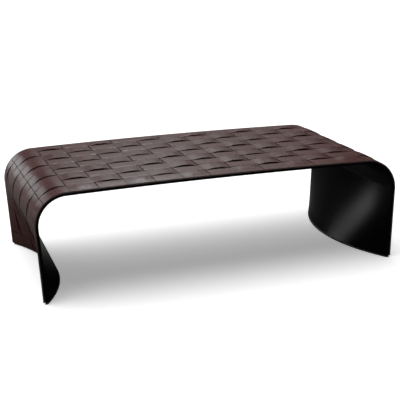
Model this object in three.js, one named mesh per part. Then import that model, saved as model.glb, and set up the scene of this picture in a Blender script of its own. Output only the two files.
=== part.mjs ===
// A low bench table: one bent shell, black inside, with a woven leather skin on its outside.
// Millimetres. +X runs along the table, -Y is its front, +Z is up and the floor is at zero.
import * as THREE from 'three';

// Overall sizes, over the leather
const overallLength = 1300;
const overallDepth = 690;
const overallHeight = 380;

// Shell: the radius of the slight crown of the top, of the bend at each end, and its wall
const topCrownRadius = 23000;
const bendRadius = 108;
const shellThickness = 9;

// Legs: each foot edge is an arc in plan that reaches in towards the middle of the table
const scoopDepth = 94;
const footLean = 11;
const scoopBlendRadius = 40;

// Foot strips under the edges of the legs
const footStripHeight = 6;

// Leather straps
const leatherThickness = 2;
const longStrapCount = 9;
const crossStrapCount = 21;
const strapGap = 4;
const endStrapShare = 0.54;

// Clearance between pieces that lie on each other
const seatGap = 0.3;

// How finely the curves are cut into facets
const bendStep = bendRadius * THREE.MathUtils.degToRad(10);
const legStepsPerStrap = 2;
const leastStep = 6;

// Heights over the shell's outer face of a strap that passes under and of one that passes over
const underStrap = { low: seatGap, high: seatGap + leatherThickness };
const overStrap = { low: underStrap.high + seatGap, high: underStrap.high + seatGap + leatherThickness };
const shellWall = { low: -shellThickness, high: 0 };

// The shell's profile, from the middle of the top outwards: crown, bend, then a straight leg.
// Every place on it is given by its run, the length along the outer face from that middle.
const shellHalfLength = overallLength / 2 - overStrap.high;
const shellHeight = overallHeight - overStrap.high;
const bendCentreX = shellHalfLength - bendRadius;
const crownAngle = Math.asin(bendCentreX / (topCrownRadius - bendRadius));
const crownCentreZ = shellHeight - topCrownRadius;
const bendCentreZ = crownCentreZ + (topCrownRadius - bendRadius) * Math.cos(crownAngle);
const bendStartRun = topCrownRadius * crownAngle;
const legStartRun = bendStartRun + bendRadius * (Math.PI / 2 - crownAngle);
const floorRun = legStartRun + bendCentreZ;
const footStripTopRun = floorRun - footStripHeight;
const shellEndRun = footStripTopRun - seatGap;

// The foot edge in plan: an arc through both corners of the foot
const halfDepth = overallDepth / 2;
const scoopPlanRadius = (scoopDepth ** 2 + halfDepth ** 2) / (2 * scoopDepth);

// Point and outward normal of the shell's outer face in the XZ plane, for one half of the table
function profileAt(run) {
  if (run <= bendStartRun) {
    const angle = run / topCrownRadius;
    const normal = { x: Math.sin(angle), z: Math.cos(angle) };
    return { x: topCrownRadius * normal.x, z: crownCentreZ + topCrownRadius * normal.z, normal };
  }
  if (run <= legStartRun) {
    const angle = crownAngle + (run - bendStartRun) / bendRadius;
    const normal = { x: Math.sin(angle), z: Math.cos(angle) };
    return { x: bendCentreX + bendRadius * normal.x, z: bendCentreZ + bendRadius * normal.z, normal };
  }
  return { x: shellHalfLength, z: floorRun - run, normal: { x: 1, z: 0 } };
}

// Below the bend each line down the leg turns inwards on the blend radius and then runs straight to
// the foot edge, so the leg is a ruled surface with an eased top. This is the angle that it turns by
// to reach a point of the foot edge that stands in by the given length.
function legTurn(footInset) {
  const reach = scoopBlendRadius - footInset;
  return Math.asin(scoopBlendRadius / Math.hypot(bendCentreZ, reach)) - Math.atan2(reach, bendCentreZ);
}

// How far the leg has curved in at a place on it, and how much longer a level line through its wall
// is there than the wall is thick
function scoopAt(run, y) {
  const drop = run - legStartRun;
  if (drop <= 0) {
    return { inset: 0, stretch: 1 };
  }
  const planHeight = Math.sqrt(scoopPlanRadius ** 2 - y ** 2);
  const footInset = footLean + planHeight - (scoopPlanRadius - scoopDepth);
  const turn = legTurn(footInset);
  const blendDrop = scoopBlendRadius * Math.sin(turn);
  const angle = Math.asin(Math.min(drop, blendDrop) / scoopBlendRadius);
  const easedInset = scoopBlendRadius * (1 - Math.cos(angle));
  const inset = easedInset + Math.max(drop - blendDrop, 0) * Math.tan(turn);
  const slopeAcross = (y / planHeight) * (inset / footInset);
  return { inset, stretch: Math.hypot(1, Math.tan(angle), slopeAcross) };
}

// A point over the shell: run is negative on the left half, height is measured out from the shell
function pointAt(run, y, height) {
  const side = run < 0 ? -1 : 1;
  const profile = profileAt(Math.abs(run));
  const { inset, stretch } = scoopAt(Math.abs(run), y);
  const x = profile.x - inset + height * stretch * profile.normal.x;
  const z = profile.z + height * stretch * profile.normal.z;
  return new THREE.Vector3(side * x, y, z);
}

// Evenly spaced values from one end to the other, both included, no further apart than the step
function spaced(from, to, step) {
  const count = Math.max(1, Math.ceil((to - from) / step));
  return Array.from({ length: count + 1 }, (_, index) => from + (to - from) * index / count);
}

// Rows: the bands across the depth that the long straps cover, counted from the back
const longStrapPitch = (overallDepth + strapGap) / longStrapCount;
const longStrapWidth = longStrapPitch - strapGap;
const rows = Array.from({ length: longStrapCount }, (_, index) => {
  const back = halfDepth - index * longStrapPitch;
  return { number: index + 1, front: back - longStrapWidth, back };
});

// Columns: the bands along the run that the cross straps cover, counted from the middle outwards,
// with negative numbers on the left half. The foot trims the last one to a share of the full width.
const columnsPerHalf = (crossStrapCount - 1) / 2;
const pitchesPerHalf = columnsPerHalf - 1 / 2 + endStrapShare;
const crossStrapPitch = (shellEndRun - strapGap / 2 + endStrapShare * strapGap) / pitchesPerHalf;
const crossStrapWidth = crossStrapPitch - strapGap;
const rightColumns = Array.from({ length: columnsPerHalf }, (_, index) => {
  const number = index + 1;
  const from = number * crossStrapPitch - crossStrapWidth / 2;
  return { number, from, to: number === columnsPerHalf ? shellEndRun : from + crossStrapWidth };
});
const middleColumn = { number: 0, from: -crossStrapWidth / 2, to: crossStrapWidth / 2 };
const leftColumns = rightColumns.map(({ number, from, to }) => ({ number: -number, from: -to, to: -from }));
const columns = [...leftColumns.reverse(), middleColumn, ...rightColumns];

// The lines down the leg run straight from here on, at the middle of the leg as well
const blendEndRun = legStartRun + scoopBlendRadius * Math.sin(legTurn(footLean + scoopDepth));

// The runs within a column at which the skin and the shell both have an edge between facets, so that
// they follow the same curve: its two edges, the ends of the curves it crosses, and steps between
function runsInColumn({ from, to }) {
  const mirrored = to < 0;
  const near = mirrored ? -to : from;
  const far = mirrored ? -from : to;
  const curveEnds = [bendStartRun, legStartRun, blendEndRun];
  const inner = curveEnds.filter((run) => run > near + leastStep && run < far - leastStep);
  const ends = [near, ...inner, far];
  const runs = [near];
  for (let index = 1; index < ends.length; index += 1) {
    const [start, end] = [ends[index - 1], ends[index]];
    runs.push(...spaced(start, end, stepBetween(start, end)).slice(1));
  }
  return mirrored ? runs.map((run) => -run).reverse() : runs;
}

function stepBetween(start, end) {
  const middle = (start + end) / 2;
  if (middle < bendStartRun) {
    return crossStrapPitch;
  }
  return middle < legStartRun ? bendStep : crossStrapPitch / legStepsPerStrap;
}

// Stations along the whole run. On the scooped legs each one is sampled at both edges and the middle
// of every row. Elsewhere the skin is straight across, so the edges of a piece are enough.
const stationRuns = columns.flatMap((column) => runsInColumn(column).map((run) => ({ run, column })));
const stations = stationRuns.map(({ run, column }, index) => {
  const outerNeighbour = stationRuns[index + (run < 0 ? -1 : 1)] ?? { run };
  return { run, column, scooped: Math.abs(outerNeighbour.run) > legStartRun };
});

// Samples across one row, from the front to the back
function samplesInRow(row, scooped) {
  const middle = (row.front + row.back) / 2;
  const places = scooped ? [row.front, middle, row.back] : [row.front, row.back];
  return places.map((y) => ({ y, row }));
}

// Samples across every row, from the front to the back
function samplesInRows(scooped) {
  return [...rows].reverse().flatMap((row) => samplesInRow(row, scooped));
}

// Samples across the shell, which is straight from front to back where it isn't scooped
function samplesAcrossShell(scooped) {
  const samples = samplesInRows(scooped);
  return scooped ? samples : [samples.at(0), samples.at(-1)];
}

// A closed sheet between two heights over the shell. Each rail is one station with its samples, and
// wallAt gives the low and high faces of the piece at a station and sample.
function sheetGeometry(rails, wallAt) {
  const points = [];
  const triangles = [];
  const addRail = (rail, face) => rail.samples.map((sample) => {
    points.push(pointAt(rail.run, sample.y, wallAt(rail, sample)[face]));
    return { point: points.length - 1, y: sample.y };
  });
  const lows = rails.map((rail) => addRail(rail, 'low'));
  const highs = rails.map((rail) => addRail(rail, 'high'));
  const quad = (a, b, c, d) => triangles.push(a, b, c, a, c, d);

  for (let index = 1; index < rails.length; index += 1) {
    const [low, nextLow] = [lows[index - 1], lows[index]];
    const [high, nextHigh] = [highs[index - 1], highs[index]];
    stripBetween(high, nextHigh, (a, b, c) => triangles.push(a, b, c));
    stripBetween(low, nextLow, (a, b, c) => triangles.push(a, c, b));
    quad(low.at(0).point, nextLow.at(0).point, nextHigh.at(0).point, high.at(0).point);
    quad(low.at(-1).point, high.at(-1).point, nextHigh.at(-1).point, nextLow.at(-1).point);
  }
  for (let index = 1; index < lows.at(0).length; index += 1) {
    const [low, high] = [lows.at(0), highs.at(0)];
    quad(low[index - 1].point, high[index - 1].point, high[index].point, low[index].point);
  }
  for (let index = 1; index < lows.at(-1).length; index += 1) {
    const [low, high] = [lows.at(-1), highs.at(-1)];
    quad(low[index - 1].point, low[index].point, high[index].point, high[index - 1].point);
  }
  const geometry = new THREE.BufferGeometry().setFromPoints(points);
  geometry.setIndex(triangles);
  geometry.computeVertexNormals();
  return geometry;
}

// Triangles between two rails whose samples run from front to back, each step taken on the rail
// that lags behind, so that rails with different samples still join without a gap
function stripBetween(rail, nextRail, addTriangle) {
  let [here, there] = [0, 0];
  while (here < rail.length - 1 || there < nextRail.length - 1) {
    const hereNext = rail[here + 1]?.y ?? Infinity;
    const thereNext = nextRail[there + 1]?.y ?? Infinity;
    if (thereNext <= hereNext) {
      addTriangle(rail[here].point, nextRail[there].point, nextRail[there + 1].point);
      there += 1;
    } else {
      addTriangle(rail[here].point, nextRail[there].point, rail[here + 1].point);
      here += 1;
    }
  }
}

// The weave: at each crossing the long strap is on top where row and column number add up to even
function longStrapIsOver(row, column) {
  return (row.number + column.number) % 2 === 0;
}

const blackLacquer = { color: 0x0e0e10, roughness: 0.35, metalness: 0 };
const blackRubber = { color: 0x161616, roughness: 0.8, metalness: 0 };
const longLeather = { color: 0x54403b, roughness: 0.5, metalness: 0 };
const crossLeather = { color: 0x604a46, roughness: 0.48, metalness: 0 };

const table = new THREE.Group();

function addPiece(name, geometry, finish) {
  const mesh = new THREE.Mesh(geometry, new THREE.MeshStandardMaterial(finish));
  mesh.name = name;
  table.add(mesh);
}

// Shell
const shellRails = stations.map((station) => ({ ...station, samples: samplesAcrossShell(station.scooped) }));
addPiece('shell', sheetGeometry(shellRails, () => shellWall), blackLacquer);

// Foot strips, on the floor under the two leg edges
for (const [side, name] of [[-1, 'foot_strip_left'], [1, 'foot_strip_right']]) {
  const runs = [side * footStripTopRun, side * floorRun].sort((a, b) => a - b);
  const rails = runs.map((run) => ({ run, samples: samplesInRows(true) }));
  addPiece(name, sheetGeometry(rails, () => shellWall), blackRubber);
}

// Long straps, from foot to foot, numbered from the back
for (const row of rows) {
  const rails = stations.map((station) => ({ ...station, samples: samplesInRow(row, station.scooped) }));
  const wallAt = ({ column }) => (longStrapIsOver(row, column) ? overStrap : underStrap);
  addPiece(`long_strap_${row.number}`, sheetGeometry(rails, wallAt), longLeather);
}

// Cross straps, from the front edge to the back edge, numbered from the left foot
columns.forEach((column, index) => {
  const ownStations = stations.filter((station) => station.column === column);
  const rails = ownStations.map((station) => ({ ...station, samples: samplesInRows(station.scooped) }));
  const wallAt = (rail, { row }) => (longStrapIsOver(row, column) ? underStrap : overStrap);
  addPiece(`cross_strap_${index + 1}`, sheetGeometry(rails, wallAt), crossLeather);
});

export default table;
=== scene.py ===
import math

import bpy
from mathutils import Matrix, Vector


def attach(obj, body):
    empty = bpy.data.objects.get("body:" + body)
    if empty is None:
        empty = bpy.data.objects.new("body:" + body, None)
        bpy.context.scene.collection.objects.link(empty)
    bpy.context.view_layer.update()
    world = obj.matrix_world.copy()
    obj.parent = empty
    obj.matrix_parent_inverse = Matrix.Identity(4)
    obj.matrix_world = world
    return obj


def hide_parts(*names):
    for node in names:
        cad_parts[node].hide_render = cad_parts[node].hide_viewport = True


# A low bench table: a thin black shell, bent at both ends, with a woven leather skin on its outside.
# Metres. +X runs along the table, -Y is its front and +Z is up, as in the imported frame.
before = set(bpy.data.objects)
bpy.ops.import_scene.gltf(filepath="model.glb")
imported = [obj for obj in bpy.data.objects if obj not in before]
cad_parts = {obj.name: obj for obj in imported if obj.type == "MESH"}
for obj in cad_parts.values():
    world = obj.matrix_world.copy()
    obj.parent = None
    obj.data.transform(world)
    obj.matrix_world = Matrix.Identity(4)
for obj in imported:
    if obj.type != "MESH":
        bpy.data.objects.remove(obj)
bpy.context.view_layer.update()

QUARTER_TURN = math.pi / 2

# Overall sizes over the leather, and the shell's curves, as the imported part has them
LENGTH = 1.300
DEPTH = 0.690
HEIGHT = 0.380
CROWN_RADIUS = 23.0
BEND_RADIUS = 0.108
SHELL_THICKNESS = 0.009
SCOOP_DEPTH = 0.094
FOOT_LEAN = 0.011
SCOOP_BLEND_RADIUS = 0.040
FOOT_STRIP_HEIGHT = 0.006

# Straps, and the clearance between pieces that lie on each other. The cross straps nearly touch each
# other here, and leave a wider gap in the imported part.
LEATHER_THICKNESS = 0.002
LONG_STRAPS = 9
CROSS_STRAPS = 21
STRAP_GAP = 0.004
CROSS_STRAP_GAP = 0.0016
END_STRAP_SHARE = 0.54
SEAT_GAP = 0.0003

# Heights over the shell's outer face of the middle of a strap that passes under and of one over
UNDER_MIDDLE = SEAT_GAP + LEATHER_THICKNESS / 2
OVER_MIDDLE = UNDER_MIDDLE + LEATHER_THICKNESS + SEAT_GAP
LEATHER_TOP = OVER_MIDDLE + LEATHER_THICKNESS / 2

# The run is the length along the shell's outer face from the middle of the top
SHELL_HALF_LENGTH = LENGTH / 2 - LEATHER_TOP
SHELL_HEIGHT = HEIGHT - LEATHER_TOP
CROWN_ANGLE = math.asin((SHELL_HALF_LENGTH - BEND_RADIUS) / (CROWN_RADIUS - BEND_RADIUS))
BEND_CENTRE_HEIGHT = SHELL_HEIGHT - CROWN_RADIUS + (CROWN_RADIUS - BEND_RADIUS) * math.cos(CROWN_ANGLE)
BEND_START_RUN = CROWN_RADIUS * CROWN_ANGLE
LEG_START_RUN = BEND_START_RUN + BEND_RADIUS * (QUARTER_TURN - CROWN_ANGLE)
FLOOR_RUN = LEG_START_RUN + BEND_CENTRE_HEIGHT
FOOT_STRIP_TOP_RUN = FLOOR_RUN - FOOT_STRIP_HEIGHT
SHELL_END_RUN = FOOT_STRIP_TOP_RUN - SEAT_GAP

# Pitches of the weave: rows of long straps across the depth, columns of cross straps along the run
ROW_PITCH = (DEPTH + STRAP_GAP) / LONG_STRAPS
LAST_ROW = (LONG_STRAPS - 1) // 2
LAST_COLUMN = (CROSS_STRAPS - 1) // 2
COLUMN_PITCH = (SHELL_END_RUN - STRAP_GAP / 2 + END_STRAP_SHARE * STRAP_GAP) / (
    LAST_COLUMN - 1 / 2 + END_STRAP_SHARE
)

# Meshes. Each end of a piece takes two grid lines, one that closes it and one on its bevel's rim.
END_LINES = 2
CROWDING = 0.85           # how far the other lines crowd together at the gaps of the weave
RIM_SHARE = 0.35          # the share of its thickness that a piece loses at the rim of a bevel
EDGE_SQUARENESS = 3.0     # 2 would round the long edges as a circle does
EDGE_RISE_SHARE = 0.4     # how much of the length of a strap's rise is left at the table's edges
SHARP_ANGLE = math.radians(50)
CLOSE_ENOUGH = 1e-6

# Multipliers and shifts that give each strap and each crossing a chance value of its own
STRAP_ID = 37
CROSSING_ID = 101
TILT_ID = 50000
WANDERS_PER_METRE = 9
STRAP_WANDER_SHIFT = 3.7
WEAVE_WANDER_SHIFT = 90


# Arithmetic with nodes

class Quantity:
    """A number that nodes work out, so that a rule for a shape or a finish reads as plain arithmetic."""

    def __init__(self, tree, socket):
        self.tree = tree
        self.socket = socket

    def worked(self, operation, *values):
        node = self.tree.nodes.new("ShaderNodeMath")
        node.operation = operation
        for socket, value in zip(node.inputs, values):
            feed(socket, value)
        return Quantity(self.tree, node.outputs[0])

    def __add__(self, other):
        return self.worked("ADD", self, other)

    def __radd__(self, other):
        return self.worked("ADD", other, self)

    def __sub__(self, other):
        return self.worked("SUBTRACT", self, other)

    def __rsub__(self, other):
        return self.worked("SUBTRACT", other, self)

    def __mul__(self, other):
        return self.worked("MULTIPLY", self, other)

    def __rmul__(self, other):
        return self.worked("MULTIPLY", other, self)

    def __truediv__(self, other):
        return self.worked("DIVIDE", self, other)

    def __pow__(self, other):
        return self.worked("POWER", self, other)

    def __neg__(self):
        return self.worked("MULTIPLY", self, -1)

    def __gt__(self, other):
        return self.worked("GREATER_THAN", self, other)

    def __lt__(self, other):
        return self.worked("LESS_THAN", self, other)

    def __mod__(self, other):
        return self.worked("FLOORED_MODULO", self, other)

    def __abs__(self):
        return self.worked("ABSOLUTE", self)

    def sine(self):
        return self.worked("SINE", self)

    def cosine(self):
        return self.worked("COSINE", self)

    def tangent(self):
        return self.worked("TANGENT", self)

    def arcsine(self):
        return self.worked("ARCSINE", self)

    def angle_over(self, other):
        return self.worked("ARCTAN2", self, other)

    def root(self):
        return self.worked("SQRT", self)

    def rounded(self):
        return self.worked("ROUND", self)

    def sign(self):
        return self.worked("SIGN", self)

    def at_most(self, other):
        return self.worked("MINIMUM", self, other)

    def at_least(self, other):
        return self.worked("MAXIMUM", self, other)

    def within(self, low, high):
        return self.at_least(low).at_most(high)

    def eased(self):
        """From 0 to 1 as it goes from 0 to 1, level at both ends."""
        share = self.within(0, 1)
        return share * share * (3 - 2 * share)

    def picks(self, if_one, if_zero):
        """One of two values, by a test that is 1 or 0."""
        return self * (if_one - if_zero) + if_zero


def feed(socket, value):
    """Gives a socket what a node works out, or a plain value."""
    if isinstance(value, Quantity):
        socket.id_data.links.new(value.socket, socket)
    elif isinstance(value, bpy.types.NodeSocket):
        socket.id_data.links.new(value, socket)
    else:
        socket.default_value = value


def hypotenuse(*sides):
    return sum(side * side for side in sides).root()


def node_in(tree, kind, inputs=None, **settings):
    """A new node, with its settings and with the named inputs fed."""
    node = tree.nodes.new(kind)
    for name, value in settings.items():
        setattr(node, name, value)
    for name, value in (inputs or {}).items():
        feed(node.inputs[name], value)
    return node


def parts_of(tree, vector):
    separated = node_in(tree, "ShaderNodeSeparateXYZ", {0: vector})
    return [Quantity(tree, socket) for socket in separated.outputs]


def vector_of(tree, x, y, z):
    return node_in(tree, "ShaderNodeCombineXYZ", {0: x, 1: y, 2: z}).outputs[0]


# Geometry node trees

def tree_with_sizes(name, sizes):
    """An empty geometry tree with a named input for each size, and what its inputs give inside it."""
    tree = bpy.data.node_groups.new(name, "GeometryNodeTree")
    for size, (kind, value) in sizes.items():
        socket = tree.interface.new_socket(size, in_out="INPUT", socket_type=kind)
        if value is not None:
            socket.default_value = value
    inside = tree.nodes.new("NodeGroupInput")
    return tree, {size: Quantity(tree, inside.outputs[size]) for size in sizes}


SHELL_SIZES = {
    "Half Length": SHELL_HALF_LENGTH,
    "Height Over Floor": SHELL_HEIGHT,
    "Crown Radius": CROWN_RADIUS,
    "Bend Radius": BEND_RADIUS,
    "Half Depth": DEPTH / 2,
    "Scoop Depth": SCOOP_DEPTH,
    "Foot Lean": FOOT_LEAN,
    "Blend Radius": SCOOP_BLEND_RADIUS,
}


def make_shell_place():
    """Makes the tree that turns a run, a place across and a height over the shell into a point."""
    sizes = {name: ("NodeSocketFloat", value) for name, value in SHELL_SIZES.items()}
    sizes |= {name: ("NodeSocketFloat", 0.0) for name in ("Run", "Across", "Height")}
    tree, given = tree_with_sizes("place_on_the_shell", sizes)
    tree.interface.new_socket("Point", in_out="OUTPUT", socket_type="NodeSocketVector")
    half_length, half_depth = given["Half Length"], given["Half Depth"]
    crown_radius, bend_radius = given["Crown Radius"], given["Bend Radius"]
    scoop_depth, blend_radius = given["Scoop Depth"], given["Blend Radius"]
    run, across, height = abs(given["Run"]), given["Across"], given["Height"]

    # The profile: crown, bend, then a straight leg
    bend_centre_x = half_length - bend_radius
    crown_angle = (bend_centre_x / (crown_radius - bend_radius)).arcsine()
    crown_centre_z = given["Height Over Floor"] - crown_radius
    bend_centre_z = crown_centre_z + (crown_radius - bend_radius) * crown_angle.cosine()
    bend_start = crown_radius * crown_angle
    leg_start = bend_start + bend_radius * (QUARTER_TURN - crown_angle)
    past_crown = run > bend_start
    turn = past_crown.picks(crown_angle + (run - bend_start) / bend_radius, run / crown_radius)
    turn = turn.at_most(QUARTER_TURN)
    arc_radius = past_crown.picks(bend_radius, crown_radius)
    out_x, out_z = turn.sine(), turn.cosine()
    drop = (run - leg_start).at_least(0)
    profile_x = past_crown * bend_centre_x + arc_radius * out_x
    profile_z = past_crown.picks(bend_centre_z, crown_centre_z) + arc_radius * out_z - drop

    # The scoop: each line down the leg turns in on the blend radius, then runs straight to the foot edge
    plan_radius = (scoop_depth * scoop_depth + half_depth * half_depth) / (2 * scoop_depth)
    plan_height = (plan_radius * plan_radius - across * across).root()
    foot_inset = given["Foot Lean"] + plan_height - (plan_radius - scoop_depth)
    reach = blend_radius - foot_inset
    lean = (blend_radius / hypotenuse(bend_centre_z, reach)).arcsine() - reach.angle_over(bend_centre_z)
    blend_drop = blend_radius * lean.sine()
    eased_lean = (drop.at_most(blend_drop) / blend_radius).arcsine()
    straight_drop = (drop - blend_drop).at_least(0)
    inset = blend_radius * (1 - eased_lean.cosine()) + straight_drop * lean.tangent()
    slope_across = (across / plan_height) * (inset / foot_inset)
    outwards = height * hypotenuse(1, eased_lean.tangent(), slope_across)

    point = vector_of(
        tree,
        given["Run"].sign() * (profile_x - inset + outwards * out_x),
        across,
        profile_z + outwards * out_z,
    )
    feed(tree.nodes.new("NodeGroupOutput").inputs["Point"], point)
    return tree


shell_place = make_shell_place()


def sheet_faces(tree, lines_along_x, lines_along_y):
    """Two square grids from -1 to 1 that become the two faces of a sheet, the second one turned over.

    Gives their geometry, which face each is on as 1 or -1, and the two grid coordinates."""
    grid = node_in(tree, "GeometryNodeMeshGrid", {
        "Size X": 2.0, "Size Y": 2.0, "Vertices X": lines_along_x, "Vertices Y": lines_along_y,
    })
    outer = node_in(tree, "GeometryNodeStoreNamedAttribute", {
        "Geometry": grid.outputs["Mesh"], "Name": "face_side", "Value": 1.0,
    })
    turned = node_in(tree, "GeometryNodeFlipFaces", {"Mesh": grid.outputs["Mesh"]})
    inner = node_in(tree, "GeometryNodeStoreNamedAttribute", {
        "Geometry": turned.outputs["Mesh"], "Name": "face_side", "Value": -1.0,
    })
    both = tree.nodes.new("GeometryNodeJoinGeometry")
    tree.links.new(inner.outputs["Geometry"], both.inputs[0])
    tree.links.new(outer.outputs["Geometry"], both.inputs[0])
    side = node_in(tree, "GeometryNodeInputNamedAttribute", {"Name": "face_side"}).outputs["Attribute"]
    position = tree.nodes.new("GeometryNodeInputPosition").outputs[0]
    x, y, _ = parts_of(tree, position)
    return both.outputs[0], Quantity(tree, side), x, y


def along_piece(coordinate, lines, first, last, bevel, crowd=None):
    """Where each grid line lies along a piece, and the share of its thickness that it has there.

    The outermost lines close the flat end, and the next ones are the rim of its small bevel. Where a
    pitch is given in crowd, the lines crowd together half way between its multiples."""
    line = (coordinate + 1) / 2 * (lines - 1)
    share = ((line - END_LINES) / (lines - 1 - 2 * END_LINES)).within(0, 1)
    place = first + bevel + (last - first - 2 * bevel) * share
    if crowd is not None:
        clear = (place - first).at_most(last - place) / crowd
        wave = (place / crowd * (2 * math.pi)).sine()
        place = place + wave * clear.within(0, 1) * crowd * (CROWDING / (2 * math.pi))
    near_first, near_last = line < END_LINES - 1 / 2, line > lines - END_LINES - 1 / 2
    place = near_first.picks(first, near_last.picks(last, place))
    is_rim = near_first.at_least(near_last)
    is_closing = (line < 1 / 2).at_least(line > lines - 3 / 2)
    return place, (1 - is_rim * RIM_SHARE) * (1 - is_closing)


def across_piece(coordinate, half_width, edge_radius):
    """The same across a piece, with more lines near its two rounded edges."""
    nearness = (coordinate * QUARTER_TURN).sine()
    nearness = (nearness * QUARTER_TURN).sine()
    place = nearness * half_width
    into_edge = (1 - (half_width - abs(place)) / edge_radius).within(0, 1)
    thickness = (1 - into_edge ** EDGE_SQUARENESS).at_least(0) ** (1 / EDGE_SQUARENESS)
    return place, thickness


def finish_tree(tree, geometry, point, stored, finish):
    """Stores what the finish reads, moves the points, closes the edges and ends the tree."""
    for name, (kind, value) in stored.items():
        geometry = node_in(
            tree, "GeometryNodeStoreNamedAttribute", {"Geometry": geometry, "Name": name, "Value": value},
            data_type=kind,
        ).outputs["Geometry"]
    bent = Quantity(tree, tree.nodes.new("GeometryNodeInputMeshEdgeAngle").outputs["Unsigned Angle"])
    for kind, inputs, settings in (
        ("GeometryNodeSetPosition", {"Position": point}, {}),
        ("GeometryNodeMergeByDistance", {"Distance": CLOSE_ENOUGH}, {}),
        ("GeometryNodeRemoveAttribute", {"Name": "face_side"}, {}),
        ("GeometryNodeSetShadeSmooth", {"Selection": bent > SHARP_ANGLE, "Shade Smooth": False},
         {"domain": "EDGE"}),
        ("GeometryNodeRealizeInstances", {}, {}),
        ("GeometryNodeSetMaterial", {"Material": finish}, {}),
    ):
        geometry = node_in(tree, kind, {"Geometry": geometry, **inputs}, **settings).outputs["Geometry"]
    tree.interface.new_socket("Geometry", in_out="OUTPUT", socket_type="NodeSocketGeometry")
    feed(tree.nodes.new("NodeGroupOutput").inputs["Geometry"], geometry)


def placed(tree, run, across, height):
    """The point in space of a place on the shell."""
    group = tree.nodes.new("GeometryNodeGroup")
    group.node_tree = shell_place
    for name, value in {**SHELL_SIZES, "Run": run, "Across": across, "Height": height}.items():
        feed(group.inputs[name], value)
    return group.outputs["Point"]


def make_wall_tree():
    """A stretch of the bare shell wall, with rounded edges: the shell itself, or a foot strip."""
    tree, given = tree_with_sizes("shell_wall", {
        "From Run": ("NodeSocketFloat", -SHELL_END_RUN),
        "To Run": ("NodeSocketFloat", SHELL_END_RUN),
        "Steps Along": ("NodeSocketInt", 380),
        "Steps Across": ("NodeSocketInt", 81),
        "Wall Thickness": ("NodeSocketFloat", SHELL_THICKNESS),
        "Edge Radius": ("NodeSocketFloat", 0.0038),
        "End Bevel": ("NodeSocketFloat", 0.001),
        "Finish": ("NodeSocketMaterial", None),
    })
    lines = given["Steps Along"]
    geometry, side, x, y = sheet_faces(tree, lines, given["Steps Across"])
    run, thickness = along_piece(x, lines, given["From Run"], given["To Run"], given["End Bevel"])
    across, edge_thickness = across_piece(y, DEPTH / 2, given["Edge Radius"])
    half = given["Wall Thickness"] / 2
    point = placed(tree, run, across, half * (side * thickness * edge_thickness - 1))
    finish_tree(tree, geometry, point, {}, given["Finish"])
    return tree


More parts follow.
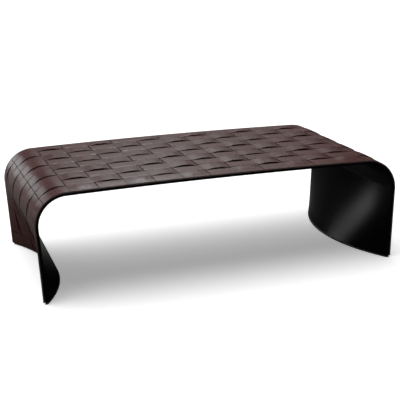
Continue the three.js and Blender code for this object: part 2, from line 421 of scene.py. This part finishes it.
def make_strap_tree(name, runs_along):
    """One strap of the weave, which lies on the shell and passes over and under those that it crosses.

    Where runs_along is set it goes from foot to foot, and otherwise from the front edge to the back."""
    tree, given = tree_with_sizes(name, {
        "Number": ("NodeSocketInt", 0),
        "Centre": ("NodeSocketFloat", 0.0),
        "Width": ("NodeSocketFloat", 0.073),
        "Half Length Of Strap": ("NodeSocketFloat", 0.345),
        "Thickness": ("NodeSocketFloat", LEATHER_THICKNESS),
        "Edge Radius": ("NodeSocketFloat", 0.0006),
        "End Bevel": ("NodeSocketFloat", 0.0004),
        "Steps Along": ("NodeSocketInt", 150),
        "Steps Across": ("NodeSocketInt", 23),
        "Crossing Pitch": ("NodeSocketFloat", 0.09),
        "Last Crossing": ("NodeSocketInt", 4),
        "Over Where": ("NodeSocketInt", 0),
        "Under Middle": ("NodeSocketFloat", UNDER_MIDDLE),
        "Over Middle": ("NodeSocketFloat", OVER_MIDDLE),
        "Rise Length": ("NodeSocketFloat", 0.0065),
        "Rise Before Gap": ("NodeSocketFloat", 0.0015),
        "Crown": ("NodeSocketFloat", 0.003),
        "Crown Ease": ("NodeSocketFloat", 0.5),
        "Lean": ("NodeSocketFloat", 0.0),
        "Crown Across": ("NodeSocketFloat", 0.0003),
        "Crown Variation": ("NodeSocketFloat", 0.25),
        "Crown Share On Bends": ("NodeSocketFloat", 0.4),
        "Flat Run": ("NodeSocketFloat", BEND_START_RUN - 0.03),
        "Bend Ease": ("NodeSocketFloat", 0.05),
        "Half Depth": ("NodeSocketFloat", DEPTH / 2),
        "Edge Ease": ("NodeSocketFloat", 0.05),
        "Tilt": ("NodeSocketFloat", 0.00025),
        "Wander": ("NodeSocketFloat", 0.0004),
        "End Ease": ("NodeSocketFloat", 0.03),
        "Seed": ("NodeSocketInt", 7),
        "Finish": ("NodeSocketMaterial", None),
    })
    lines = (given["Steps Along"], given["Steps Across"])
    geometry, side, x, y = sheet_faces(tree, *(lines if runs_along else lines[::-1]))
    lengthwise, crosswise = (x, y) if runs_along else (y, x)
    half_length, half_width = given["Half Length Of Strap"], given["Width"] / 2
    pitch = given["Crossing Pitch"]
    along, thickness = along_piece(lengthwise, lines[0], -half_length, half_length, given["End Bevel"], pitch)
    across, edge_thickness = across_piece(crosswise, half_width, given["Edge Radius"])

    # Which strap it crosses here, and whether it is on top
    crossing = (along / pitch).rounded()
    from_middle = abs(along - crossing * pitch)
    is_over = 1 - (given["Number"] + crossing + given["Over Where"]) % 2
    at_end = abs(along) > given["Last Crossing"] * pitch
    from_gap = at_end.picks(pitch / 2, pitch / 2 - from_middle)
    sideways = given["Centre"] + across
    run, place_across = (along, sideways) if runs_along else (sideways, along)
    off_edge = ((given["Half Depth"] - abs(place_across)) / given["Edge Ease"]).eased()
    rise_length = given["Rise Length"] * (EDGE_RISE_SHARE + (1 - EDGE_RISE_SHARE) * off_edge)
    rise = (is_over.picks(from_gap, -from_gap) + given["Rise Before Gap"]) / rise_length
    level = rise.eased()

    def varied(extra_id):
        """A chance value from -1 to 1 of this strap's own at this crossing."""
        chosen = node_in(tree, "FunctionNodeRandomValue", data_type="FLOAT")
        own_id = given["Number"] * STRAP_ID + crossing * CROSSING_ID + extra_id
        for socket, value in (("Min", -1.0), ("Max", 1.0), ("ID", own_id), ("Seed", given["Seed"])):
            feed(next(s for s in chosen.inputs if s.name == socket and s.enabled), value)
        return Quantity(tree, next(s for s in chosen.outputs if s.enabled))

    # Slack leather: the part on top bows up between the two places where it dives, less on the bends,
    # and not at the table's edges or at the strap's ends
    in_cell = 2 * (along - crossing * pitch) / pitch
    reach = abs(in_cell - given["Lean"] * (1 - in_cell * in_cell))
    bow = ((1 - reach) / given["Crown Ease"]).eased() * is_over
    bow = bow * (1 + given["Crown Variation"] * varied(0))
    on_bend = ((abs(run) - given["Flat Run"]) / given["Bend Ease"]).eased()
    bow = bow * (1 - on_bend * (1 - given["Crown Share On Bends"]))
    bow = bow * off_edge
    bow = bow * ((SHELL_END_RUN - abs(run)) / given["End Ease"]).eased()
    sway = across / half_width
    height = given["Under Middle"] + (given["Over Middle"] - given["Under Middle"]) * level
    height = height + given["Crown"] * bow
    arch = given["Crown Across"] * (1 - sway * sway) + given["Tilt"] * varied(TILT_ID) * sway
    height = height + bow * arch
    height = height + side * thickness * edge_thickness * given["Thickness"] / 2

    # No strap is cut quite straight
    wander_place = along * WANDERS_PER_METRE + given["Number"] * STRAP_WANDER_SHIFT
    wander_place = wander_place + given["Over Where"] * WEAVE_WANDER_SHIFT
    drift = node_in(
        tree, "ShaderNodeTexNoise", {"W": wander_place, "Scale": 1.0, "Detail": 1.0},
        noise_dimensions="1D",
    )
    drift = (Quantity(tree, drift.outputs[0]) - 1 / 2) * 2 * given["Wander"]
    drift = drift * ((half_length - abs(along)) / given["End Ease"]).eased()
    sideways = sideways + drift

    point = placed(tree, *((along, sideways) if runs_along else (sideways, along)), height)
    finish_tree(tree, geometry, point, {
        "strap_place": ("FLOAT_VECTOR", vector_of(tree, along, across, given["Number"])),
        "from_edge": ("FLOAT", (half_width - abs(across)).at_most(half_length - abs(along))),
    }, given["Finish"])
    return tree


def made_by(tree, name, sizes):
    """The plain mesh object that a tree makes from these sizes."""
    maker = bpy.data.objects.new(name + "_maker", bpy.data.meshes.new(name + "_maker"))
    bpy.context.scene.collection.objects.link(maker)
    modifier = maker.modifiers.new("shape", "NODES")
    modifier.node_group = tree
    sockets = {item.name: item for item in tree.interface.items_tree if item.in_out == "INPUT"}
    for size, value in sizes.items():
        modifier[sockets[size].identifier] = value
    evaluated = maker.evaluated_get(bpy.context.evaluated_depsgraph_get())
    mesh = bpy.data.meshes.new_from_object(evaluated)
    mesh.name = name
    maker.modifiers.remove(modifier)
    bpy.data.objects.remove(maker)
    piece = bpy.data.objects.new(name, mesh)
    bpy.context.scene.collection.objects.link(piece)
    return piece


# Finishes

# Leather: clouds and specks over the table, streaks along a strap and the hide that it was cut from
# mix its two tones, and pebbles and creases make its grain. Scales are per metre, and the steps move
# the pattern on from one strap to the next.
CLOUD_SCALE, CLOUD_SHARE = 11.0, 0.55
STREAKS_ALONG, STREAKS_ACROSS, STREAK_SHARE = 14, 160, 0.16
SPECK_SCALE, SPECK_SHARE = 420.0, 0.12
HIDE_SHARE, TONE_SHIFT = 0.35, -0.09
STREAK_STEP, HIDE_STEPS = 7.3, (5.1, 2.3)
PEBBLE_SCALE, PEBBLE_SHARE = 780.0, 0.5
CREASE_SCALE, CREASE_SHARE = 260.0, 0.7
GRAIN_DEPTH, GRAIN_STRENGTH = 0.00022, 0.8

# Its gloss: it is burnished on the top and the bends, and duller down the legs
LEATHER_SHINE = 0.06
LEATHER_ROUGHNESS, CLOUD_ROUGHNESS, SPECK_ROUGHNESS = 0.29, 0.08, 0.06
BURNISHED_ABOVE, BURNISH_FADE = 0.29, 0.2
LEG_ROUGHNESS, CUT_ROUGHNESS = 0.6, 0.15

# Its edges: darker beside the cut, partly from wear and partly as painted shade in the weave's gaps, and a
# pale grey painted as a sheen on the cut ends where the straps are trimmed flush at the front and the back of
# the table
WEAR_AND_SHADE_WIDTH, WEAR_AND_SHADE_SHARE = 0.005, 0.6
CUT_START, CUT_FADE = 0.0001, 0.0003
TRIM_WIDTH = 0.002

# Black lacquer and rubber
LACQUER_COLOUR = (0.0022, 0.0022, 0.0025, 1.0)
LACQUER_SHINE = 0.012
LACQUER_ROUGHNESS, SMUDGE_ROUGHNESS = 0.21, 0.08
RIPPLE_SCALE, RIPPLE_DEPTH = 170.0, 0.00004
SMUDGE_SCALE = 6.0
RUBBER_COLOUR = (0.006, 0.006, 0.006, 1)
DUST_COLOUR = (0.016, 0.016, 0.016, 1)
RUBBER_ROUGHNESS, DUST_ROUGHNESS = 0.7, 0.15
RUBBER_GRAIN_SCALE, RUBBER_GRAIN_DEPTH, RUBBER_GRAIN_STRENGTH = 900.0, 0.0001, 0.6
DUST_SCALE = 40.0

# The colour sockets of the node that mixes two values of any kind
FIRST_COLOUR, SECOND_COLOUR, MIXED_COLOUR = 6, 7, 2


def linear(red, green, blue):
    """A colour given as it looks on a screen, from 0 to 255, as the shader takes it."""
    def one(value):
        value /= 255
        return value / 12.92 if value <= 0.04045 else ((value + 0.055) / 1.055) ** 2.4
    return (one(red), one(green), one(blue), 1.0)


# Darker brown beside each strap's edge: wear, and painted shade of the weave's gaps
WEAR_AND_SHADE_COLOUR = linear(30, 18, 16)
# Pale grey painted as a sheen on the cut ends at the table's front and back
PAINTED_SHEEN_COLOUR = linear(84, 72, 70)


def new_finish(name):
    """A new material, its tree, its shader and the place of each point on the object."""
    finish = bpy.data.materials.new(name)
    finish.use_nodes = True
    tree = finish.node_tree
    in_object = tree.nodes.new("ShaderNodeTexCoord").outputs["Object"]
    return finish, tree, tree.nodes["Principled BSDF"], in_object


def stored_on(tree, name, output):
    return node_in(tree, "ShaderNodeAttribute", attribute_name=name).outputs[output]


def noise(tree, place, scale, detail, roughness):
    node = node_in(
        tree, "ShaderNodeTexNoise",
        {"Vector": place, "Scale": scale, "Detail": detail, "Roughness": roughness},
    )
    return Quantity(tree, node.outputs["Fac"])


def colours_between(tree, share, first, second):
    mixed = node_in(tree, "ShaderNodeMix", data_type="RGBA")
    feed(mixed.inputs["Factor"], share)
    feed(mixed.inputs[FIRST_COLOUR], first)
    feed(mixed.inputs[SECOND_COLOUR], second)
    return mixed.outputs[MIXED_COLOUR]


def bumped(tree, shader, height, distance, strength):
    bump = node_in(tree, "ShaderNodeBump", {"Height": height, "Distance": distance, "Strength": strength})
    feed(shader.inputs["Normal"], bump.outputs["Normal"])


def make_leather(name, deep, light, cut_dye_and_shade):
    """Waxed strap leather: mottled brown, with a fine pebbled grain, darker beside its edges from wear and
    painted shade, and dark cut edges that hold painted shade on the long straps and a painted sheen at the
    table's front and back.
    """
    finish, tree, shader, in_object = new_finish(name)
    along, across, number = parts_of(tree, stored_on(tree, "strap_place", "Vector"))
    from_edge = Quantity(tree, stored_on(tree, "from_edge", "Fac"))
    _, y, z = parts_of(tree, in_object)

    streak_place = vector_of(tree, along * STREAKS_ALONG, across * STREAKS_ACROSS, number * STREAK_STEP)
    hide_place = vector_of(tree, number * HIDE_STEPS[0], number * HIDE_STEPS[1], 0.0)
    streaks = noise(tree, streak_place, 1.0, detail=3.0, roughness=0.6)
    clouds = noise(tree, in_object, CLOUD_SCALE, detail=4.0, roughness=0.6)
    specks = noise(tree, in_object, SPECK_SCALE, detail=2.0, roughness=0.5)
    hide = noise(tree, hide_place, 1.0, detail=0.0, roughness=0.5)
    tone = clouds * CLOUD_SHARE + streaks * STREAK_SHARE + specks * SPECK_SHARE
    tone = tone + hide * HIDE_SHARE + TONE_SHIFT
    colour = colours_between(tree, tone.within(0, 1), deep, light)
    # Painted shade: darker within a few millimetres of each strap's edge, partly wear and partly the shade
    # that falls in the weave's gaps
    wear_and_shade = (1 - from_edge / WEAR_AND_SHADE_WIDTH).eased() * WEAR_AND_SHADE_SHARE
    colour = colours_between(tree, wear_and_shade, colour, WEAR_AND_SHADE_COLOUR)
    cut = (1 - (from_edge - CUT_START) / CUT_FADE).eased()
    # Painted sheen: the cut ends at the table's front and back take a pale grey, as if they caught light
    sheen_band = abs(y) > DEPTH / 2 - TRIM_WIDTH
    # The cut faces take the dyed edge colour, which on the long straps is darkened further as painted shade
    cut_dye_shade_and_sheen = colours_between(tree, sheen_band, cut_dye_and_shade, PAINTED_SHEEN_COLOUR)
    feed(shader.inputs["Base Color"], colours_between(tree, cut, colour, cut_dye_shade_and_sheen))

    matt = ((BURNISHED_ABOVE - z) / BURNISH_FADE).eased() * LEG_ROUGHNESS
    roughness = LEATHER_ROUGHNESS + clouds * CLOUD_ROUGHNESS + specks * SPECK_ROUGHNESS
    feed(shader.inputs["Roughness"], roughness + (matt + cut * CUT_ROUGHNESS))
    shader.inputs["Specular IOR Level"].default_value = LEATHER_SHINE

    pebbles = node_in(
        tree, "ShaderNodeTexVoronoi", {"Vector": in_object, "Scale": PEBBLE_SCALE}, feature="SMOOTH_F1"
    )
    pebbles = Quantity(tree, pebbles.outputs["Distance"])
    creases = noise(tree, in_object, CREASE_SCALE, detail=4.0, roughness=0.6)
    grain = (1 - pebbles) * PEBBLE_SHARE + creases * CREASE_SHARE
    bumped(tree, shader, grain, GRAIN_DEPTH, GRAIN_STRENGTH)
    return finish


def make_lacquer():
    """Black satin lacquer, very slightly rippled, and duller where it is smudged."""
    finish, tree, shader, in_object = new_finish("black_satin_lacquer")
    ripple = noise(tree, in_object, RIPPLE_SCALE, detail=2.0, roughness=0.5)
    smudges = noise(tree, in_object, SMUDGE_SCALE, detail=4.0, roughness=0.6)
    shader.inputs["Base Color"].default_value = LACQUER_COLOUR
    feed(shader.inputs["Roughness"], LACQUER_ROUGHNESS + smudges * SMUDGE_ROUGHNESS)
    shader.inputs["Specular IOR Level"].default_value = LACQUER_SHINE
    bumped(tree, shader, ripple, RIPPLE_DEPTH, 1.0)
    return finish


def make_rubber():
    """Matt black rubber with a fine moulded grain, and dust in it."""
    finish, tree, shader, in_object = new_finish("black_rubber")
    grain = noise(tree, in_object, RUBBER_GRAIN_SCALE, detail=2.0, roughness=0.6)
    dust = noise(tree, in_object, DUST_SCALE, detail=3.0, roughness=0.6)
    feed(shader.inputs["Base Color"], colours_between(tree, dust, RUBBER_COLOUR, DUST_COLOUR))
    feed(shader.inputs["Roughness"], RUBBER_ROUGHNESS + dust * DUST_ROUGHNESS)
    bumped(tree, shader, grain, RUBBER_GRAIN_DEPTH, RUBBER_GRAIN_STRENGTH)
    return finish


lacquer = make_lacquer()
rubber = make_rubber()
# The long straps' cut edges are a darker red: dye, and painted shade of the pockets under their raised front
# edges
long_leather = make_leather(
    "long_strap_leather", deep=linear(52, 29, 26), light=linear(78, 51, 48), cut_dye_and_shade=linear(44, 12, 12)
)
cross_leather = make_leather(
    "cross_strap_leather", deep=linear(56, 31, 29), light=linear(82, 55, 52), cut_dye_and_shade=linear(48, 27, 25)
)


# Pieces

# The soft boxes light this collection alone
table = bpy.data.collections.new("table")


def ready(piece, slot, *nodes):
    """Puts a finished piece on the table's one body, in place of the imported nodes."""
    table.objects.link(piece)
    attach(piece, "root")
    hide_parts(*nodes)


wall_tree = make_wall_tree()
shell = made_by(wall_tree, "moulded_shell", {
    "From Run": -SHELL_END_RUN,
    "To Run": SHELL_END_RUN,
    "Finish": lacquer,
})
ready(shell, "shell", "shell")

for side, first, last in (
    ("left", -FLOOR_RUN, -FOOT_STRIP_TOP_RUN),
    ("right", FOOT_STRIP_TOP_RUN, FLOOR_RUN),
):
    strip = made_by(wall_tree, f"foot_rubber_{side}", {
        "From Run": first,
        "To Run": last,
        "Steps Along": 8,
        "Steps Across": 61,
        "Edge Radius": 0.002,
        "End Bevel": 0.0005,
        "Finish": rubber,
    })
    ready(strip, "foot_strip", f"foot_strip_{side}")

long_tree = make_strap_tree("long_strap", runs_along=True)
for row in range(LAST_ROW, -LAST_ROW - 1, -1):
    number = LAST_ROW - row + 1
    strap = made_by(long_tree, f"long_leather_{number}", {
        "Number": row,
        "Centre": row * ROW_PITCH,
        "Width": ROW_PITCH - STRAP_GAP,
        "Half Length Of Strap": SHELL_END_RUN,
        "Steps Along": 560,
        "Steps Across": 15,
        "Crossing Pitch": COLUMN_PITCH,
        "Last Crossing": LAST_COLUMN,
        "Over Where": 1,
        "Rise Length": 0.0024,
        "Rise Before Gap": 0.001,
        "Crown": 0.0043,
        "Crown Ease": 0.78,
        "Crown Share On Bends": 0.55,
        "Lean": 0.06,
        "Finish": long_leather,
    })
    ready(strap, "long_strap", f"long_strap_{number}")

cross_tree = make_strap_tree("cross_strap", runs_along=False)
for column in range(-LAST_COLUMN, LAST_COLUMN + 1):
    number = LAST_COLUMN + column + 1
    inner = abs(column) * COLUMN_PITCH - (COLUMN_PITCH - CROSS_STRAP_GAP) / 2
    outer = SHELL_END_RUN if abs(column) == LAST_COLUMN else inner + COLUMN_PITCH - CROSS_STRAP_GAP
    strap = made_by(cross_tree, f"cross_leather_{number}", {
        "Number": column,
        "Centre": math.copysign((inner + outer) / 2, column) if column else 0.0,
        "Width": outer - inner,
        "Half Length Of Strap": DEPTH / 2,
        "Steps Along": 145,
        "Steps Across": 23,
        "Crossing Pitch": ROW_PITCH,
        "Last Crossing": LAST_ROW,
        "Over Where": 0,
        "Rise Length": 0.006,
        "Rise Before Gap": 0.0025,
        "Crown": 0.0014,
        "Crown Ease": 0.3,
        "Edge Radius": 0.0004,
        "Finish": cross_leather,
    })
    ready(strap, "cross_strap", f"cross_strap_{number}")


# Floor, light and camera

# The floor's colour and glow as the camera sees it, and its colour where it lights the table
FLOOR_HALF_SIZE = 60.0
FLOOR_COLOUR, FLOOR_GLOW, FLOOR_COLOUR_IN_LIGHT = 1.0, 0.34, 0.25

# The studio's light on the table, and how much of white shows in a gloss up to this climb
STUDIO_LIGHT, STUDIO_IN_GLOSS, GLOSS_CLIMB = 0.06, 0.35, 0.08

WHITE = (1, 1, 1)
OVERHEAD_PLACE, OVERHEAD_STRENGTH, OVERHEAD_ANGLE = (-1.28, 0.88, 4.0), 3.2, math.radians(84)
GLEAM_SPREAD = math.radians(30)

# Soft boxes: the place, what it points at, the width, height and brightness, and the colour
SOFTBOXES = {
    "low_behind_left": ((0.1, 2.75, 1.45), (0, 0, 0.4), 1.0, 0.45, 1.5, WHITE),
    "low_behind_right": ((1.2, 2.75, 1.45), (0, 0, 0.4), 1.2, 0.45, 2.1, WHITE),
    "behind_high": ((0.4, 2.7, 2.3), (0.1, 0, 0.4), 0.8, 0.5, 21.0, (0.88, 0.96, 1.0)),
    "behind_right": ((1.2, 2.7, 2.3), (0.1, 0, 0.4), 0.8, 0.5, 1.0, (0.85, 0.95, 1.0)),
    "beside_left_bend": ((-0.85, 1.0, 0.50), (-0.6, 0, 0.3), 0.28, 0.30, 3.9, (0.92, 0.98, 1.0)),
    "before_high": ((-0.3, -2.7, 2.3), (0, 0, 0.4), 0.9, 0.5, 9.0, WHITE),
    "low_before": ((-0.2, -2.75, 1.25), (0, 0, 0.4), 2.4, 0.4, 0.5, WHITE),
    "behind_left": ((-2.15, 2.6, 0.42), (0.55, -0.1, 0.2), 1.05, 0.26, 1.25, WHITE),
}

# The photograph's camera, found from the outlines of the object
CAMERA_PLACE = (-1.0921, -3.4182, 1.2115)
CAMERA_TURN = math.radians(19.19)
CAMERA_DIP = math.radians(18.10)
CAMERA_ROLL = math.radians(-1.00)
SENSOR_WIDTH, LENS_LENGTH = 36.0, 89.83
LENS_SHIFT = (-0.05, 0.10)


def make_floor():
    """A plain white floor."""
    mesh = bpy.data.meshes.new("floor")
    size = FLOOR_HALF_SIZE
    corners = [(-size, -size, 0), (size, -size, 0), (size, size, 0), (-size, size, 0)]
    mesh.from_pydata(corners, [], [(0, 1, 2, 3)])
    floor = bpy.data.objects.new("floor", mesh)
    bpy.context.scene.collection.objects.link(floor)
    finish = bpy.data.materials.new("white_floor")
    finish.use_nodes = True
    tree = finish.node_tree
    tree.nodes.clear()
    path = tree.nodes.new("ShaderNodeLightPath")
    seen = Quantity(tree, path.outputs["Is Camera Ray"]).at_least(path.outputs["Is Transmission Ray"])
    colour = seen.picks(FLOOR_COLOUR, FLOOR_COLOUR_IN_LIGHT)
    diffuse = node_in(tree, "ShaderNodeBsdfDiffuse", {"Color": colour})
    glow = node_in(tree, "ShaderNodeEmission", {"Strength": seen * FLOOR_GLOW})
    both = node_in(tree, "ShaderNodeAddShader", {0: diffuse.outputs[0], 1: glow.outputs[0]})
    feed(tree.nodes.new("ShaderNodeOutputMaterial").inputs["Surface"], both.outputs[0])
    mesh.materials.append(finish)


def make_world():
    """A studio that looks white, and in which only the light near the floor shows in a gloss."""
    world = bpy.data.worlds.new("studio")
    bpy.context.scene.world = world
    world.use_nodes = True
    tree = world.node_tree
    tree.nodes.clear()
    direction = tree.nodes.new("ShaderNodeTexCoord").outputs["Generated"]
    climb = parts_of(tree, direction)[2]
    path = tree.nodes.new("ShaderNodeLightPath")
    low = 1 - (climb / GLOSS_CLIMB).eased()
    white = low * path.outputs["Is Glossy Ray"] * STUDIO_IN_GLOSS
    white = white.at_least(path.outputs["Is Camera Ray"]).at_least(path.outputs["Is Transmission Ray"])
    level = white.picks(1.0, STUDIO_LIGHT)
    studio = node_in(tree, "ShaderNodeBackground", {"Color": (1, 1, 1, 1), "Strength": level})
    feed(tree.nodes.new("ShaderNodeOutputWorld").inputs["Surface"], studio.outputs[0])


def add_lamp(name, kind, place, aim, **settings):
    data = bpy.data.lights.new(name, kind)
    for setting, value in settings.items():
        setattr(data, setting, value)
    lamp = bpy.data.objects.new(name, data)
    bpy.context.scene.collection.objects.link(lamp)
    lamp.location = place
    lamp.rotation_euler = (Vector(aim) - Vector(place)).to_track_quat("-Z", "Y").to_euler()
    lamp.visible_camera = False
    return lamp


def add_softbox(name, place, aim, width, height, brightness, colour):
    """A soft box as bright as this all over its face, where 1 is white. It lights the table alone."""
    lamp = add_lamp(
        name, "AREA", place, aim, shape="RECTANGLE", size=width, size_y=height,
        energy=brightness * math.pi * width * height, color=colour,
    )
    lamp.light_linking.receiver_collection = table
    return lamp


def make_camera():
    ahead = Vector((
        math.sin(CAMERA_TURN) * math.cos(CAMERA_DIP),
        math.cos(CAMERA_TURN) * math.cos(CAMERA_DIP),
        -math.sin(CAMERA_DIP),
    ))
    level = Vector((math.cos(CAMERA_TURN), -math.sin(CAMERA_TURN), 0))
    above = level.cross(ahead)
    right = level * math.cos(CAMERA_ROLL) + above * math.sin(CAMERA_ROLL)
    up = above * math.cos(CAMERA_ROLL) - level * math.sin(CAMERA_ROLL)
    data = bpy.data.cameras.new("camera")
    data.sensor_width = SENSOR_WIDTH
    data.lens = LENS_LENGTH
    data.shift_x, data.shift_y = LENS_SHIFT
    camera = bpy.data.objects.new("camera", data)
    bpy.context.scene.collection.objects.link(camera)
    turned = Matrix((right, up, -ahead)).transposed().to_4x4()
    camera.matrix_world = Matrix.Translation(CAMERA_PLACE) @ turned
    bpy.context.scene.camera = camera


make_floor()
make_world()
add_lamp("overhead", "SUN", OVERHEAD_PLACE, (0, 0, 0), energy=OVERHEAD_STRENGTH, angle=OVERHEAD_ANGLE)
softboxes = {name: add_softbox(name, *sizes) for name, sizes in SOFTBOXES.items()}
softboxes["behind_left"].data.spread = GLEAM_SPREAD
make_camera()
bpy.context.scene.view_settings.view_transform = "Standard"
